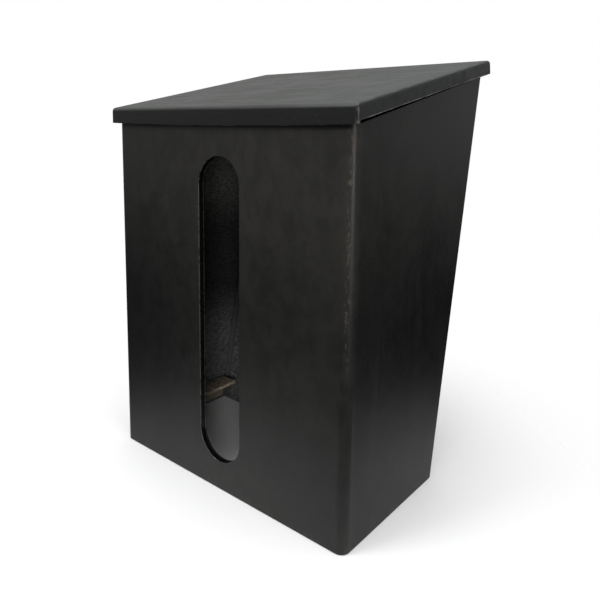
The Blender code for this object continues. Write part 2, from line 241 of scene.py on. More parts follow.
def prism(outline, offset):
    """Closed solid swept from a flat outline along an offset."""
    shape = bmesh.new()
    base = shape.faces.new([shape.verts.new(point) for point in outline])
    grown = bmesh.ops.extrude_face_region(shape, geom=[base])
    moved = [item for item in grown["geom"] if isinstance(item, bmesh.types.BMVert)]
    bmesh.ops.translate(shape, verts=moved, vec=offset)
    bmesh.ops.recalc_face_normals(shape, faces=shape.faces)
    return shape


def side_prism(outline, x_low, x_high):
    """Closed solid across the box from an outline drawn in the side view."""
    return prism([(x_low, point[0], point[1]) for point in outline], (x_high - x_low, 0, 0))


def arc(centre, radius, start, end, steps):
    """Points of an arc, angles in degrees, both ends included."""
    angles = [math.radians(start + (end - start) * step / steps) for step in range(steps + 1)]
    return [(centre[0] + radius * math.cos(a), centre[1] + radius * math.sin(a)) for a in angles]


def rod(start, end, radius):
    """Closed cylinder between two points."""
    start, end = Vector(start), Vector(end)
    direction = end - start
    shape = bmesh.new()
    bmesh.ops.create_cone(shape, cap_ends=True, segments=ROUND_STEPS, radius1=radius,
                          radius2=radius, depth=direction.length)
    turn = Vector((0, 0, 1)).rotation_difference(direction).to_matrix().to_4x4()
    bmesh.ops.transform(shape, verts=shape.verts, matrix=Matrix.Translation((start + end) / 2) @ turn)
    return shape


def turned(start, direction, profile, hollow=False):
    """Solid of revolution from (distance, radius) pairs; a hollow one joins its ends."""
    start, direction = Vector(start), Vector(direction).normalized()
    turn = Vector((0, 0, 1)).rotation_difference(direction).to_matrix()
    shape = bmesh.new()
    rings = []
    for along, radius in profile:
        ring = []
        for step in range(ROUND_STEPS):
            angle = 2 * math.pi * step / ROUND_STEPS
            local = Vector((radius * math.cos(angle), radius * math.sin(angle), along))
            ring.append(shape.verts.new(start + turn @ local))
        rings.append(ring)
    next_rings = rings[1:] + rings[:1] if hollow else rings[1:]
    for low, high in zip(rings, next_rings):
        for step in range(ROUND_STEPS):
            after = (step + 1) % ROUND_STEPS
            shape.faces.new((low[step], low[after], high[after], high[step]))
    if not hollow:
        shape.faces.new(list(reversed(rings[0])))
        shape.faces.new(rings[-1])
    return shape


def loft(rings):
    """Closed solid through rings of the same number of points, capped at both ends."""
    shape = bmesh.new()
    grid = [[shape.verts.new(point) for point in ring] for ring in rings]
    count = len(rings[0])
    for low, high in zip(grid, grid[1:]):
        for step in range(count):
            after = (step + 1) % count
            shape.faces.new((low[step], low[after], high[after], high[step]))
    shape.faces.new(list(reversed(grid[0])))
    shape.faces.new(grid[-1])
    return shape


def subtract(shape, cutters):
    """Exact difference of a bmesh and others, as a new bmesh."""
    def as_object(source):
        bmesh.ops.recalc_face_normals(source, faces=source.faces)
        mesh = bpy.data.meshes.new("shape")
        source.to_mesh(mesh)
        source.free()
        made = bpy.data.objects.new("shape", mesh)
        bpy.context.scene.collection.objects.link(made)
        return made

    objects = [as_object(source) for source in [shape, *cutters]]
    for cutter in objects[1:]:
        cut = objects[0].modifiers.new("cut", "BOOLEAN")
        cut.operation = "DIFFERENCE"
        cut.solver = "EXACT"
        cut.object = cutter
    evaluated = objects[0].evaluated_get(bpy.context.evaluated_depsgraph_get())
    result = bmesh.new()
    result.from_mesh(evaluated.to_mesh())
    evaluated.to_mesh_clear()
    for made in objects:
        mesh = made.data
        bpy.data.objects.remove(made)
        bpy.data.meshes.remove(mesh)
    bmesh.ops.remove_doubles(result, verts=result.verts, dist=MERGE)
    flat = math.radians(0.05)
    bmesh.ops.dissolve_limit(result, angle_limit=flat, verts=result.verts, edges=result.edges)
    return result


def soften(shape, width, segments=2, degrees=50):
    """Round every sharp edge a little, as handling and sanding do."""
    limit = math.radians(degrees)
    sharp = [edge for edge in shape.edges if edge.is_manifold and edge.calc_face_angle() > limit]
    bmesh.ops.bevel(shape, geom=sharp, offset=width, segments=segments,
                    profile=0.6, affect="EDGES", clamp_overlap=False)
    return shape


def leaf_points(away, towards, pairs):
    """Side view points of a hinge leaf, given along it and across it from the pin."""
    return [tuple(PIN + away * along + towards * across) for along, across in pairs]


def solid(point, x=0.0):
    """Point or direction of the side view as one in space."""
    return Vector((x, point[0], point[1]))


def back_hole(x, along, radius):
    """Cutter for a hole square through the back."""
    return rod(solid(on_back(along, -3 * WALL), x), solid(on_back(along, 3 * WALL), x), radius)


# ------------------------------------------------------------------- materials
class Surface:
    """A Principled material with short calls for the nodes that give it detail."""

    def __init__(self, name, colour, roughness, metallic=0.0, **fixed):
        self.material = bpy.data.materials.new(name)
        self.material.use_nodes = True
        self.nodes = self.material.node_tree.nodes
        self.links = self.material.node_tree.links
        self.shader = self.nodes["Principled BSDF"]
        self.shader.inputs["Base Color"].default_value = (*colour, 1.0)
        self.shader.inputs["Roughness"].default_value = roughness
        self.shader.inputs["Metallic"].default_value = metallic
        for socket, value in fixed.items():
            self.shader.inputs[socket.replace("_", " ")].default_value = value
        self.place = self.nodes.new("ShaderNodeTexCoord").outputs["Object"]

    def stretched(self, scale, turn=(0, 0, 0)):
        """Object coordinates scaled along each axis and turned by degrees."""
        mapping = self.nodes.new("ShaderNodeMapping")
        mapping.inputs["Scale"].default_value = scale
        mapping.inputs["Rotation"].default_value = [math.radians(a) for a in turn]
        self.links.new(self.place, mapping.inputs["Vector"])
        return mapping.outputs["Vector"]

    def noise(self, scale, detail=3.0, rough=0.5, distort=0.0, turn=(0, 0, 0)):
        """Noise with a number of features per metre along each axis, from 0 to 1."""
        node = self.nodes.new("ShaderNodeTexNoise")
        node.inputs["Scale"].default_value = 1.0
        node.inputs["Detail"].default_value = detail
        node.inputs["Roughness"].default_value = rough
        node.inputs["Distortion"].default_value = distort
        self.links.new(self.stretched(scale, turn), node.inputs["Vector"])
        return node.outputs["Fac"]

    def cells(self, scale):
        """Distance from the borders of cells."""
        node = self.nodes.new("ShaderNodeTexVoronoi")
        node.feature = "DISTANCE_TO_EDGE"
        node.inputs["Scale"].default_value = 1.0
        self.links.new(self.stretched(scale), node.inputs["Vector"])
        return node.outputs["Distance"]

    def axis(self, letter):
        """One of the three object coordinates, in metres."""
        split = self.nodes.new("ShaderNodeSeparateXYZ")
        self.links.new(self.place, split.inputs[0])
        return split.outputs[letter]

    def ramp(self, source, low, high, bottom=0.0, top=1.0):
        """Source from low to high becomes bottom to top, smoothly and held at the ends."""
        node = self.nodes.new("ShaderNodeMapRange")
        node.interpolation_type = "SMOOTHSTEP"
        self.links.new(source, node.inputs["Value"])
        limits = {"From Min": low, "From Max": high, "To Min": bottom, "To Max": top}
        for socket, value in limits.items():
            node.inputs[socket].default_value = value
        return node.outputs["Result"]

    def math(self, operation, a, b=0.0):
        node = self.nodes.new("ShaderNodeMath")
        node.operation = operation
        for socket, value in zip(node.inputs, (a, b)):
            if isinstance(value, bpy.types.NodeSocket):
                self.links.new(value, socket)
            else:
                socket.default_value = value
        return node.outputs[0]

    def times(self, *sources):
        result = sources[0]
        for source in sources[1:]:
            result = self.math("MULTIPLY", result, source)
        return result

    def plus(self, *sources):
        result = sources[0]
        for source in sources[1:]:
            result = self.math("ADD", result, source)
        return result

    def near(self, source, value, reach):
        """1 where the source is at a value, falling to 0 at reach from it."""
        distance = self.math("ABSOLUTE", self.math("SUBTRACT", source, value))
        return self.ramp(distance, 0.0, reach, 1.0, 0.0)

    def tint(self, *layers):
        """Lay colours over the base colour, each through a mask."""
        colour = self.shader.inputs["Base Color"].default_value[:]
        for mask, over in layers:
            node = self.nodes.new("ShaderNodeMix")
            node.data_type = "RGBA"
            self.links.new(mask, node.inputs["Factor"])
            if isinstance(colour, bpy.types.NodeSocket):
                self.links.new(colour, node.inputs["A"])
            else:
                node.inputs["A"].default_value = colour
            node.inputs["B"].default_value = (*over, 1.0)
            colour = node.outputs["Result"]
        self.links.new(colour, self.shader.inputs["Base Color"])

    def roughness(self, source):
        """Let a source set how rough the surface is."""
        self.links.new(source, self.shader.inputs["Roughness"])

    def bumps(self, *heights):
        """Stack of (height from 0 to 1, depth in metres) pairs."""
        normal = None
        for height, depth in heights:
            node = self.nodes.new("ShaderNodeBump")
            node.inputs["Distance"].default_value = depth
            self.links.new(height, node.inputs["Height"])
            if normal is not None:
                self.links.new(normal, node.inputs["Normal"])
            normal = node.outputs["Normal"]
        self.links.new(normal, self.shader.inputs["Normal"])


def body_outside():
    """Satin sheet, cloudy with dusty haze, with painted light high up and across the front, a painted
    reflection low down, a painted shadow under the lid's lip, faint wiping marks and rubbed front
    bends.
    """
    s = Surface("body_outside", (0.0042, 0.0043, 0.0043), 0.32, Specular_IOR_Level=0.20)
    x, y, z = s.axis("X"), s.axis("Y"), s.axis("Z")
    lip_height = LID_FRONT_HEIGHT - LID_FRONT_FLANGE
    clouds = s.noise((16, 16, 10), 6, 0.62, 0.5)
    mottle = s.noise((75, 75, 55), 5, 0.7, 0.4)
    grain = s.noise((420, 420, 300), 3, 0.6)
    haze = s.ramp(s.plus(s.times(clouds, 0.5), s.times(mottle, 0.32), s.times(grain, 0.18)), 0.38, 0.64)
    # painted light: the walls lighter high up, mottled by the haze
    high = s.times(s.ramp(z, 0.13, 0.25), s.ramp(haze, 0.0, 1.0, 0.55, 1.0))
    # painted reflection: the walls lighter low down, in clouds
    low = s.times(s.ramp(z, 0.02, 0.13, 1.0, 0.0), s.ramp(clouds, 0.44, 0.60))
    # painted shadow: a dark band on the front just under the lid's lip
    painted_shadow_under_lip = s.times(s.near(z, lip_height - 0.0014, 0.0030),
                    s.ramp(y, FRONT_Y + 0.001, FRONT_Y + 0.005, 1.0, 0.0))
    # painted light: the front face lighter, most towards its right
    front = s.times(s.ramp(y, FRONT_Y + 0.004, FRONT_Y + 0.012, 1.0, 0.0),
                    s.ramp(x, -0.11, 0.02, 0.1, 1.0), s.ramp(mottle, 0.38, 0.60, 0.62, 1.0))
    wipes = s.ramp(s.noise((70, 70, 7), 4, 0.62, 0.2, (0, 5, 3)), 0.52, 0.74, 0.0, 0.4)
    specks = s.ramp(s.noise((620, 620, 620), 2), 0.70, 0.76, 0.0, 0.5)
    along_bend = s.times(s.near(y, FRONT_Y + 0.0016, 0.0034),
                         s.near(s.math("ABSOLUTE", x), HALF_WIDTH - 0.0026, 0.0026))
    rubbed = s.times(along_bend, s.ramp(s.noise((420, 420, 190), 4, 0.8), 0.50, 0.66),
                     s.ramp(z, 0.09, 0.17, 0.06, 0.75))
    scraped = s.times(s.near(z, 0.0, 0.009), s.ramp(s.noise((260, 260, 150), 4, 0.7), 0.54, 0.64), 0.5)
    scratches = s.times(s.ramp(s.noise((900, 900, 22), 2, 0.5, 0.0, (0, 7, 4)), 0.70, 0.73),
                        s.ramp(s.noise((14, 14, 14), 2), 0.52, 0.60), 0.35)
    s.tint((s.times(haze, 0.75), (0.0074, 0.0076, 0.0076)),
           # the next four layers are painted light and painted reflection
           (s.times(front, 0.9), (0.0150, 0.0149, 0.0138)),
           (s.times(low, 0.35), (0.0130, 0.0130, 0.0136)),
           (s.times(high, 0.9), (0.0180, 0.0175, 0.0162)),
           (s.times(high, front), (0.0245, 0.0236, 0.0212)),
           (wipes, (0.014, 0.0138, 0.0132)),
           (scraped, (0.040, 0.038, 0.036)),
           (scratches, (0.034, 0.032, 0.030)),
           (specks, (0.032, 0.029, 0.026)),
           (s.times(rubbed, 0.8), (0.100, 0.080, 0.062)),
           # painted shadow under the lid's lip
           (painted_shadow_under_lip, (0.0006, 0.0006, 0.0006)))
    s.roughness(s.plus(s.ramp(haze, 0.0, 1.0, 0.30, 0.38), s.times(grain, 0.06), s.times(rubbed, 0.25)))
    s.bumps((s.noise((7, 7, 5), 2), 0.00022), (mottle, 0.00006), (grain, 0.000022),
            (s.noise((900, 900, 900), 2), 0.000007))
    return s.material


def scaled(values, factor):
    """Each value multiplied by a factor."""
    return [value * factor for value in values]


def grained(name, colour, stretch, depth=0.00034, painted_light_layers=None):
    """Rippled leather grain of the sheet's textured side."""
    s = Surface(name, colour, 0.34, Specular_IOR_Level=0.5)
    ripples = s.ramp(s.noise(stretch, 3, 0.55, 0.8, (28, 0, 0)), 0.44, 0.57)
    cracks = s.ramp(s.cells(scaled(stretch, 1.6)), 0.0, 0.16)
    fine = s.noise((1500, 1500, 1500), 2)
    dust = s.ramp(s.noise((26, 26, 26), 4, 0.65), 0.5, 0.8, 0.0, 0.5)
    extra = painted_light_layers(s, ripples) if painted_light_layers else ()
    s.tint((dust, scaled(colour, 1.5)), (s.times(ripples, 0.7), scaled(colour, 2.4)),
           (s.ramp(fine, 0.64, 0.74, 0.0, 0.35), scaled(colour, 2.2)), *extra)
    s.roughness(s.ramp(ripples, 0.0, 1.0, 0.5, 0.33))
    s.bumps((ripples, depth), (cracks, depth * 0.4), (fine, 0.00003))
    return s.material


def chamber_painted_light(s, ridges):
    """Painted light on the grain's ridges, pale low down and high up under the lid."""
    low = s.ramp(s.axis("Z"), 0.055, 0.125, 0.72, 0.0)
    high = s.ramp(s.axis("Z"), 0.175, 0.245, 0.0, 0.85)
    patches = s.ramp(s.noise((30, 30, 30), 4), 0.2, 0.6, 0.7, 1.0)
    caught = s.ramp(ridges, 0.0, 1.0, 0.45, 1.0)
    # painted light: pale low down and high up under the lid
    return ((s.times(low, patches, caught), (0.23, 0.23, 0.225)),
            (s.times(high, caught), (0.17, 0.17, 0.158)))


def cut_edge():
    """Routed and sawn edge: shiny, with tool marks, clinging crumbs and painted highlights along its
    arrises.
    """
    s = Surface("cut_edge", (0.0022, 0.0022, 0.0022), 0.24, Specular_IOR_Level=0.25)
    marks = s.noise((260, 260, 900), 3, 0.6)
    crumbs = s.ramp(s.noise((520, 520, 520), 3, 0.7), 0.66, 0.72, 0.0, 0.7)
    broken = s.ramp(s.noise((240, 240, 240), 4, 0.7), 0.36, 0.50, 0.15, 1.0)
    # painted highlights: pale broken lines along the front wall's outer and inner arrises
    outer = s.times(s.near(s.axis("Y"), FRONT_Y + 0.0004, 0.0008), broken)
    inner = s.times(s.near(s.axis("Y"), FRONT_Y + WALL - 0.0010, 0.0006), broken, 0.8)
    arris_highlight = (0.050, 0.049, 0.046)
    s.tint((outer, arris_highlight), (inner, arris_highlight),
           (s.ramp(marks, 0.5, 0.7, 0.0, 0.5), (0.005, 0.005, 0.0048)),
           (crumbs, (0.050, 0.041, 0.031)))
    s.roughness(s.plus(s.ramp(marks, 0.3, 0.7, 0.16, 0.30), s.times(crumbs, 0.3)))
    s.bumps((marks, 0.00002), (crumbs, 0.00006))
    return s.material


def lid_outside():
    """Satin sheet with streaks along its width, blotches of haze and a fine grain; its top painted
    lighter with a painted streaky reflection, painted highlights towards its right and along its front
    edge, its side flanges painted lighter and a painted highlight along their lower edge.
    """
    s = Surface("lid_outside", (0.0110, 0.0112, 0.0112), 0.36, Specular_IOR_Level=0.18)
    x, y, z = s.axis("X"), s.axis("Y"), s.axis("Z")
    streaks = s.noise((12, 150, 150), 5, 0.66, 0.3)
    blotches = s.noise((38, 38, 38), 5, 0.68, 0.5)
    haze = s.ramp(s.plus(s.times(streaks, 0.6), s.times(blotches, 0.4)), 0.36, 0.66)
    specks = s.ramp(s.noise((700, 700, 700), 2), 0.68, 0.75, 0.0, 0.5)
    across = s.math("ABSOLUTE", x)
    on_flange = s.ramp(across, LID_HALF - 0.0012, LID_HALF - 0.0004)
    on_top = s.times(s.ramp(z, LID_FRONT_HEIGHT - 0.003, LID_FRONT_HEIGHT + 0.001),
                     s.ramp(across, LID_HALF - 0.0012, LID_HALF - 0.0004, 1.0, 0.0))
    # painted highlight: bluish, towards the top's right end
    right = s.times(s.ramp(x, 0.01, 0.11), s.ramp(streaks, 0.42, 0.60), on_top, 0.6)
    # painted highlight: a pale line along the top's front edge
    lip = s.times(s.near(y, FRONT_Y - 0.0022, 0.0035), on_top, 0.45)
    height = s.plus(s.times(z, UP_LID.y), s.times(y, UP_LID.x))
    top = LID_FRONT.dot(UP_LID) + FRONT_Y * UP_LID.x
    # painted highlight, partly wear: a pale broken line along the side flanges' lower edge
    rim = s.times(s.near(height, top - LID_SIDE_FLANGE, 0.0013), on_flange,
                  s.ramp(s.noise((40, 40, 60), 4, 0.6), 0.38, 0.56, 0.1, 1.0))
    corner = s.times(s.near(y, FRONT_Y - 0.0028, 0.0022), s.near(across, LID_HALF - 0.0006, 0.0020),
                     s.ramp(s.noise((300, 300, 150), 3, 0.7), 0.44, 0.64), 0.45)
    # painted reflection: the top lighter, in streaks and blotches by the haze over it
    s.tint((s.times(on_top, 0.8), (0.034, 0.036, 0.032)),
           (s.times(haze, on_top, 0.7), (0.060, 0.065, 0.056)),
           # painted highlight towards the right end
           (s.times(right, 0.5), (0.070, 0.081, 0.089)),
           # painted highlight along the front edge
           (lip, (0.085, 0.088, 0.083)),
           (specks, (0.050, 0.050, 0.047)),
           # painted light: the side flanges lighter
           (s.times(on_flange, 0.5), (0.020, 0.021, 0.0215)),
           (corner, (0.15, 0.125, 0.105)),
           # painted highlight and wear along the flanges' lower edge
           (rim, (0.28, 0.28, 0.27)))
    s.roughness(s.plus(s.ramp(haze, 0.0, 1.0, 0.27, 0.46), s.times(s.noise((120, 900, 900), 3), 0.05)))
    s.bumps((s.noise((7, 9, 9), 2), 0.0005), (streaks, 0.00016), (blotches, 0.00020),
            (s.noise((850, 850, 850), 3), 0.00004))
    return s.material


def rim_wear_and_highlight():
    """Cut lower edge of the lid's flanges, its corner pale in places, partly wear and partly a painted
    highlight.
    """
    s = Surface("rim_wear_and_highlight", (0.014, 0.014, 0.014), 0.30)
    rubbed = s.ramp(s.noise((70, 70, 90), 4, 0.6), 0.38, 0.60)
    specks = s.ramp(s.noise((500, 500, 500), 2), 0.6, 0.7)
    # pale patches: wear and painted highlight
    s.tint((rubbed, (0.20, 0.20, 0.19)), (specks, (0.05, 0.048, 0.045)))
    s.roughness(s.ramp(rubbed, 0.0, 1.0, 0.28, 0.50))
    s.bumps((s.noise((400, 400, 400), 3), 0.00004))
    return s.material


def pale_tan_ledge():
    """Ledge sheet painted pale tan as painted light on it, its grain paler in patches."""
    s = Surface("pale_tan_ledge", (0.20, 0.175, 0.14), 0.42)
    grain = s.ramp(s.noise((420, 260, 420), 4, 0.65, 0.6), 0.40, 0.62)
    pale = s.times(grain, s.ramp(s.noise((60, 40, 60), 3), 0.35, 0.6))
    # painted light: paler patches on the grain
    s.tint((s.times(pale, 0.85), (0.62, 0.50, 0.37)))
    s.roughness(s.ramp(grain, 0.0, 1.0, 0.55, 0.36))
    s.bumps((grain, 0.00022), (s.noise((1400, 1400, 1400), 2), 0.00002))
    return s.material


def sawn_bar():
    """Plastic bar with saw marks along it and dust in them."""
    s = Surface("sawn_bar", (0.015, 0.015, 0.0147), 0.50)
    saw = s.noise((3, 700, 700), 3, 0.6)
    dust = s.ramp(s.noise((45, 45, 45), 4, 0.6), 0.5, 0.75, 0.0, 0.5)
    s.tint((dust, (0.036, 0.034, 0.031)), (s.ramp(saw, 0.55, 0.7, 0.0, 0.4), (0.030, 0.030, 0.029)))
    s.roughness(s.ramp(saw, 0.3, 0.7, 0.42, 0.62))
    s.bumps((saw, 0.00006))
    return s.material


def melted_bead():
    """Plastic rod melted on, with painted light low down like the sheets beside it."""
    s = Surface("melted_bead", (0.0085, 0.0085, 0.0083), 0.40, Specular_IOR_Level=0.40)
    flow = s.noise((240, 240, 120), 3, 0.5, 0.8)
    s.tint((s.ramp(flow, 0.55, 0.75, 0.0, 0.5), (0.016, 0.016, 0.0155)),
           # painted light: lighter low down, as on the walls beside it
           (s.ramp(s.axis("Z"), 0.055, 0.125, 0.55, 0.0), (0.092, 0.092, 0.090)))
    s.roughness(s.ramp(flow, 0.3, 0.7, 0.32, 0.48))
    s.bumps((flow, 0.00008))
    return s.material


def brushed_steel():
    """Hinge strip with fine lines along it and dull stains."""
    s = Surface("brushed_steel", (0.56, 0.56, 0.57), 0.30, 1.0)
    lines = s.noise((25, 3200, 3200), 3, 0.6)
    stain = s.ramp(s.noise((90, 90, 90), 4, 0.6), 0.5, 0.75, 0.0, 0.5)
    s.tint((s.ramp(lines, 0.4, 0.7, 0.0, 0.35), (0.40, 0.40, 0.41)), (stain, (0.33, 0.31, 0.28)))
    s.roughness(s.plus(s.ramp(lines, 0.3, 0.7, 0.24, 0.38), s.times(stain, 0.2)))
    s.bumps((lines, 0.000006))
    return s.material


def dull_aluminium():
    """Rivets and washers, matt where they were pressed."""
    s = Surface("dull_aluminium", (0.60, 0.60, 0.61), 0.36, 1.0)
    marks = s.noise((900, 900, 900), 4, 0.65)
    s.tint((s.ramp(marks, 0.5, 0.72, 0.0, 0.6), (0.36, 0.36, 0.36)))
    s.roughness(s.ramp(marks, 0.3, 0.7, 0.28, 0.5))
    s.bumps((marks, 0.00001))
    return s.material


# ------------------------------------------------------------------------ body
def wall_top(y):
    """Height of the walls' top edge, just under the sloping lid."""
    start = under_lid(LID_SHEET + GAP)
    return start.y + math.tan(LID_SLOPE) * (y - start.x)


def wall_line(depth):
    """Plan of the wall at a depth inside its outer face, round both front bends."""
    radius = BEND_OUTER - depth
    left = arc((-BEND_X, BEND_OUTER), radius, 180, 270, BEND_STEPS)
    right = arc((BEND_X, BEND_OUTER), radius, 270, 360, BEND_STEPS)
    return left, right


def slot_side(side):
    """Half of the slot's outline, from its top to its bottom."""
    radius = SLOT_WIDTH / 2
    top = arc((SLOT_OFFSET, SLOT_TOP - radius), radius, 90, 90 - side * 90, SLOT_STEPS)
    low = arc((SLOT_OFFSET, SLOT_BOTTOM + radius), radius, -90 + side * 90, -90, SLOT_STEPS)
    return top + low


def wall_skin(shape, depth):
    """Faces of the wall's sheet at a depth inside its outer face.

    Returns its uprights from the left rear to the right rear, each a pair of
    vertices at the rim and the top edge, and the slot's two halves.
    """
    slope, lean = math.tan(LID_SLOPE), math.tan(BACK_LEAN)
    rear_top = (wall_top(0) + slope * BOX_DEPTH) / (1 - slope * lean)

    def upright(x, y):
        return shape.verts.new((x, y, 0)), shape.verts.new((x, y, wall_top(y)))

    def rear(x):
        return (shape.verts.new((x, BOX_DEPTH, 0)),
                shape.verts.new((x, BOX_DEPTH + lean * rear_top, rear_top)))

    left, right = [[upright(x, y) for x, y in line] for line in wall_line(depth)]
    left = [rear(depth - HALF_WIDTH)] + left
    right = right + [rear(HALF_WIDTH - depth)]
    middle = upright(SLOT_OFFSET, depth)
    halves = {side: slot_side(side) for side in (-1, 1)}
    (top_x, top_z), (low_x, low_z) = halves[1][0], halves[1][-1]
    top, low = shape.verts.new((top_x, depth, top_z)), shape.verts.new((low_x, depth, low_z))
    slot = {side: [top, *(shape.verts.new((x, depth, z)) for x, z in points[1:-1]), low]
            for side, points in halves.items()}
    for beside, side in ((left[-1], -1), (right[0], 1)):
        shape.faces.new([middle[0], beside[0], beside[1], middle[1], *slot[side]])
    for row in (left, right):
        for a, b in zip(row, row[1:]):
            shape.faces.new((a[0], b[0], b[1], a[1]))
    return [*left, middle, *right], slot


def make_wall(outside, inside, edge):
    """One sheet bent round both front corners, with the slot through its front."""
    shape = bmesh.new()
    outer_row, outer_slot = wall_skin(shape, 0.0)
    inner_row, inner_slot = wall_skin(shape, WALL)
    for level in (0, 1):
        for n in range(len(outer_row) - 1):
            shape.faces.new((outer_row[n][level], outer_row[n + 1][level],
                             inner_row[n + 1][level], inner_row[n][level]))
    for end in (0, -1):
        shape.faces.new((*outer_row[end], *reversed(inner_row[end])))
    for side, outer in outer_slot.items():
        inner = inner_slot[side]
        for corners in zip(outer, outer[1:], inner[1:], inner):
            shape.faces.new(corners)
    bmesh.ops.recalc_face_normals(shape, faces=shape.faces)
    soften(shape, SOFT_WALL, 3)
    for face in shape.faces:
        face.material_index = wall_side(face.calc_center_median())
    new_object("wall_sheet", shape, [outside, inside, edge], "box",
               ["front_and_side_wall"])


def wall_side(point):
    """0 on the wall's outer face, 1 on its inner face and 2 on a cut edge."""
    x = abs(point.x)
    if x > BEND_X and point.y < BEND_OUTER:
        depth = BEND_OUTER - math.hypot(x - BEND_X, point.y - BEND_OUTER)
    else:
        depth = min(point.y, HALF_WIDTH - x)
    if depth < SKIN:
        return 0
    return 1 if depth > WALL - SKIN else 2


def by_faces(obj, choose):
    """Give each face of a finished piece the material that choose(centre, normal) picks."""
    to_layout = TO_FRAME.inverted()
    for polygon in obj.data.polygons:
        polygon.material_index = choose(to_layout @ polygon.center, polygon.normal)


def make_back(outside, inside, edge):
    """Leaning back sheet, closed tight to the side walls so that no light shows beside it."""
    top_gap = LID_SHEET + 2 * GAP + LEAF_SHEET + BACK_TOP_ROOM
    outline = [
        BACK_FOOT,
        crossing(BACK_FOOT, OUT_BACK, under_lid(top_gap), UP_LID),
        crossing(behind_back(-WALL), OUT_BACK, under_lid(top_gap), UP_LID),
        crossing(behind_back(-WALL), OUT_BACK, Vector((0, 0)), Vector((0, 1))),
    ]
    half = INNER_HALF - BACK_SIDE_GAP
    holes = [back_hole(side * FIXING_X, along, FIXING_RADIUS)
             for along in STRIP_AT.values() for side in (-1, 1)]
    holes += [back_hole(x, RIVET_ALONG, RIVET_SHANK + GAP) for x in RIVET_X]
    shape = soften(subtract(side_prism(outline, -half, half), holes), SOFT_BACK)
    back = new_object("back_sheet", shape, [outside, inside, edge], "box",
                      ["back_panel"])
    out = solid(OUT_BACK)

    def choose(_, normal):
        facing = normal.dot(out)
        if facing > 0.999:
            return 0
        return 1 if facing < -0.999 else 2

    by_faces(back, choose)


def make_beads(material):
    """Hot-air welds in the rear corners, with the ripples that the rod leaves."""
    top = crossing(behind_back(-WALL), OUT_BACK, under_lid(LID_SHEET + LEAF_SHEET + WALL), UP_LID)
    length = (top - behind_back(-WALL)).dot(UP_BACK) - BEAD_TOP_GAP
    steps = round(length / BEAD_RIPPLE) * BEAD_RINGS
    for name, side in (("left", -1), ("right", 1)):
        rings = []
        for step in range(steps + 1):
            along = BEAD_FOOT + BEAD_LIFT + (length - BEAD_FOOT) * step / steps
            ripple = abs(math.sin(math.pi * along / BEAD_RIPPLE))
            wander = noise.noise(Vector((along * 60, side * 3.0, 0.0)))
            reach = BEAD * (0.80 + 0.07 * ripple + 0.08 * wander)
            ring = [(0.0, 0.0)]
            for turn in range(7):
                angle = math.pi / 2 * turn / 6
                bulge = reach * (0.82 + 0.18 * abs(math.cos(2 * angle)))
                ring.append((bulge * math.cos(angle), bulge * math.sin(angle)))
            rings.append([solid(on_back(along, -(WALL + GAP) - v), side * (INNER_HALF - GAP - u))
                          for u, v in ring])
        new_object(f"weld_{name}", loft(rings), [material], "box", [f"weld_bead_{name}"],
                   55)


def make_ledges(pale_tan, edge):
    """Bent angles along the two sides, under the ends of the napkin stack."""
    front = WALL + GAP
    rear = crossing(behind_back(-WALL - BEAD - 2 * GAP), OUT_BACK,
                    Vector((0, LEDGE_TOP - LEDGE_LEG)), Vector((0, 1))).x
    outer = INNER_HALF - GAP
    bend = LEDGE_SHEET + LEDGE_BEND_INNER
    low, tip = LEDGE_TOP - LEDGE_LEG, outer - LEDGE_REACH
    section = [(outer, low)] + arc((outer - bend, LEDGE_TOP - bend), bend, 0, 90, 10)
    section += [(tip, LEDGE_TOP), (tip, LEDGE_TOP - LEDGE_SHEET)]
    section += arc((outer - bend, LEDGE_TOP - bend), bend - LEDGE_SHEET, 90, 0, 6)
    section += [(outer - LEDGE_SHEET, low)]
    for name, side in (("left", -1), ("right", 1)):
        shape = prism([(side * x, front, z) for x, z in section], (0, rear - front, 0))
        soften(shape, SOFT_LEDGE)
        ledge = new_object(f"ledge_{name}", shape, [pale_tan, edge], "box",
                           [f"napkin_ledge_{name}"])
        by_faces(ledge, lambda _, normal: 1 if abs(normal.y) > 0.5 else 0)


def make_strips(material):
    """Bars across the outside of the back, with a fixing hole near each end."""
    for name, along in STRIP_AT.items():
        low, high = along - STRIP_HEIGHT / 2, along + STRIP_HEIGHT / 2
        near, far = GAP, GAP + STRIP_THICK
        outline = [on_back(low, near), on_back(high, near), on_back(high, far), on_back(low, far)]
        bar = side_prism(outline, -STRIP_HALF_LENGTH, STRIP_HALF_LENGTH)
        shape = subtract(bar, [back_hole(side * FIXING_X, along, FIXING_RADIUS) for side in (-1, 1)])
        new_object(f"spacer_{name}", soften(shape, SOFT_STRIP, 3), [material], "box",
                   [f"wall_strip_{name}"])


